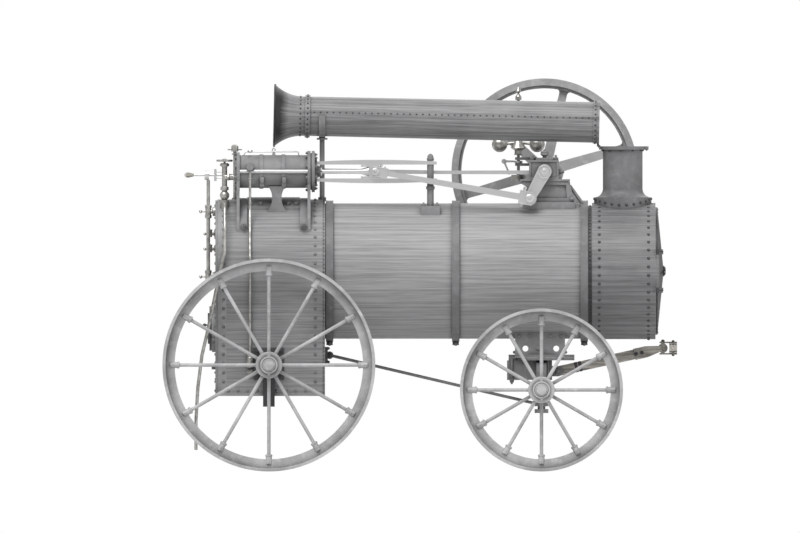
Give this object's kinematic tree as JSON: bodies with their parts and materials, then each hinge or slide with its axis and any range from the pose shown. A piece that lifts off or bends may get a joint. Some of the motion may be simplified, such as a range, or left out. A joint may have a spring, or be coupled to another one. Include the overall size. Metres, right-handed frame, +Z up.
{
  "type": "portable steam engine",
  "caption": "Horse-drawn boiler on four iron wheels with an overtype cylinder, crank, flywheel, governor and a chimney that folds down along the top.",
  "frame": {"origin": "on the ground under the middle of the machine's overall length and width", "axes": "+X from the fire door towards the smokebox and drawbar, -Y the side with the cylinder, +Z up"},
  "size_m": [3.3454, 1.49, 2.555],
  "materials": {
    "black_iron": "matt black paint, slightly sooty",
    "grey_plate": "grey painted boiler plate",
    "lagging": "grey painted sheet over lagging",
    "cast_grey": "grey painted casting",
    "bright_steel": "polished steel",
    "wheel_iron": "light grey painted iron with a worn bright tyre",
    "pale_metal": "pale polished brass",
    "dark_wood": "oiled ash"
  },
  "bodies": {
    "engine": {"firebox": "grey_plate", "back_plate": "grey_plate", "fire_hole_ring": "grey_plate", "tube_plate": "black_iron", "smokebox_front": "black_iron", "chimney_neck": "black_iron", "grate": "cast_grey", "barrel": "lagging", "barrel_bands": "black_iron", "smokebox": "black_iron", "fire_door_hinge": "black_iron", "chimney_base": "black_iron", "chimney_crutch": "cast_grey", "cylinder": "cast_grey", "cylinder_saddle": "cast_grey", "steam_chest": "cast_grey", "lifting_eye": "bright_steel", "guide_bars": "bright_steel", "guide_post": "cast_grey", "near_pedestal": "cast_grey", "far_pedestal": "cast_grey", "governor_bracket": "cast_grey", "steam_valve": "pale_metal", "regulator": "bright_steel", "safety_valve": "pale_metal", "water_gauge": "pale_metal", "try_cocks": "pale_metal", "feed_pipe": "pale_metal", "suction_pipe": "pale_metal", "hind_axle": "black_iron", "fore_bracket": "cast_grey", "king_pin": "cast_grey", "stay_rod": "black_iron"},
    "chimney": {"chimney": "black_iron"},
    "smokebox_door": {"smokebox_door": "black_iron"},
    "fire_door": {"fire_door": "black_iron"},
    "crosshead": {"crosshead": "bright_steel"},
    "connecting_rod": {"connecting_rod": "bright_steel"},
    "crankshaft": {"crankshaft": "bright_steel", "flywheel": "wheel_iron"},
    "eccentric_rod": {"eccentric_rod": "bright_steel"},
    "valve_rod": {"valve_rod": "bright_steel"},
    "governor": {"governor": "pale_metal"},
    "fore_carriage": {"fore_carriage": "cast_grey"},
    "drawbar": {"drawbar": "dark_wood"},
    "swingletree": {"swingletree": "dark_wood"},
    "near_hind_wheel": {"near_hind_wheel": "wheel_iron"},
    "far_hind_wheel": {"far_hind_wheel": "wheel_iron"},
    "near_front_wheel": {"near_front_wheel": "wheel_iron"},
    "far_front_wheel": {"far_front_wheel": "wheel_iron"}
  },
  "joints": [
    {"name": "chimney_raise", "type": "hinge", "parent": "engine", "child": "chimney", "pos_m": [1.16525, 0, 2.114], "axis": [0, 1, 0], "range_deg": [0, 88.76]},
    {"name": "smokebox_door_open", "type": "hinge", "parent": "engine", "child": "smokebox_door", "pos_m": [1.54525, -0.431, 1.303], "axis": [0, 0, -1], "range_deg": [0, 120]},
    {"name": "fire_door_open", "type": "hinge", "parent": "engine", "child": "fire_door", "pos_m": [-1.36705, 0.201, 0.93], "axis": [0, 0, -1], "range_deg": [0, 110]},
    {"name": "crank_turn", "type": "hinge", "parent": "engine", "child": "crankshaft", "pos_m": [0.81125, 0, 1.95], "axis": [0, 1, 0], "continuous": true},
    {"name": "crosshead_slide", "type": "slide", "parent": "engine", "child": "crosshead", "axis": [1, 0, 0], "range_m": [-0.11818, 0.28182]},
    {"name": "rod_swing", "type": "hinge", "parent": "crosshead", "child": "connecting_rod", "pos_m": [-0.28857, -0.271, 1.95], "axis": [0, 1, 0], "range_deg": [-21.23, 1.44]},
    {"name": "eccentric_turn", "type": "hinge", "parent": "crankshaft", "child": "eccentric_rod", "pos_m": [0.84582, -0.062, 1.94453], "axis": [0, 1, 0], "continuous": true},
    {"name": "valve_slide", "type": "slide", "parent": "engine", "child": "valve_rod", "axis": [1, 0, 0], "range_m": [-0.035, 0.035]},
    {"name": "governor_spin", "type": "hinge", "parent": "engine", "child": "governor", "pos_m": [0.64125, 0.338, 1.95], "axis": [0, 0, 1], "continuous": true},
    {"name": "steering", "type": "hinge", "parent": "engine", "child": "fore_carriage", "pos_m": [0.79125, 0, 0.7395], "axis": [0, 0, 1], "range_deg": [-28, 28]},
    {"name": "drawbar_drop", "type": "hinge", "parent": "fore_carriage", "child": "drawbar", "pos_m": [0.89725, 0, 0.652], "axis": [0, 1, 0], "range_deg": [0, 40]},
    {"name": "swingletree_swing", "type": "hinge", "parent": "drawbar", "child": "swingletree", "pos_m": [1.58025, 0, 0.802], "axis": [0, 0, 1], "range_deg": [-15, 15]},
    {"name": "near_hind_wheel_roll", "type": "hinge", "parent": "engine", "child": "near_hind_wheel", "pos_m": [-0.98075, 0, 0.692], "axis": [0, 1, 0], "continuous": true},
    {"name": "near_front_wheel_roll", "type": "hinge", "parent": "fore_carriage", "child": "near_front_wheel", "pos_m": [0.79125, 0, 0.53], "axis": [0, 1, 0], "continuous": true},
    {"name": "far_hind_wheel_roll", "type": "hinge", "parent": "engine", "child": "far_hind_wheel", "pos_m": [-0.98075, 0, 0.692], "axis": [0, 1, 0], "continuous": true},
    {"name": "far_front_wheel_roll", "type": "hinge", "parent": "fore_carriage", "child": "far_front_wheel", "pos_m": [0.79125, 0, 0.53], "axis": [0, 1, 0], "continuous": true}
  ],
  "couplings": [
    {"joint": "eccentric_turn", "follows": "crank_turn", "ratio": -1}
  ]
}
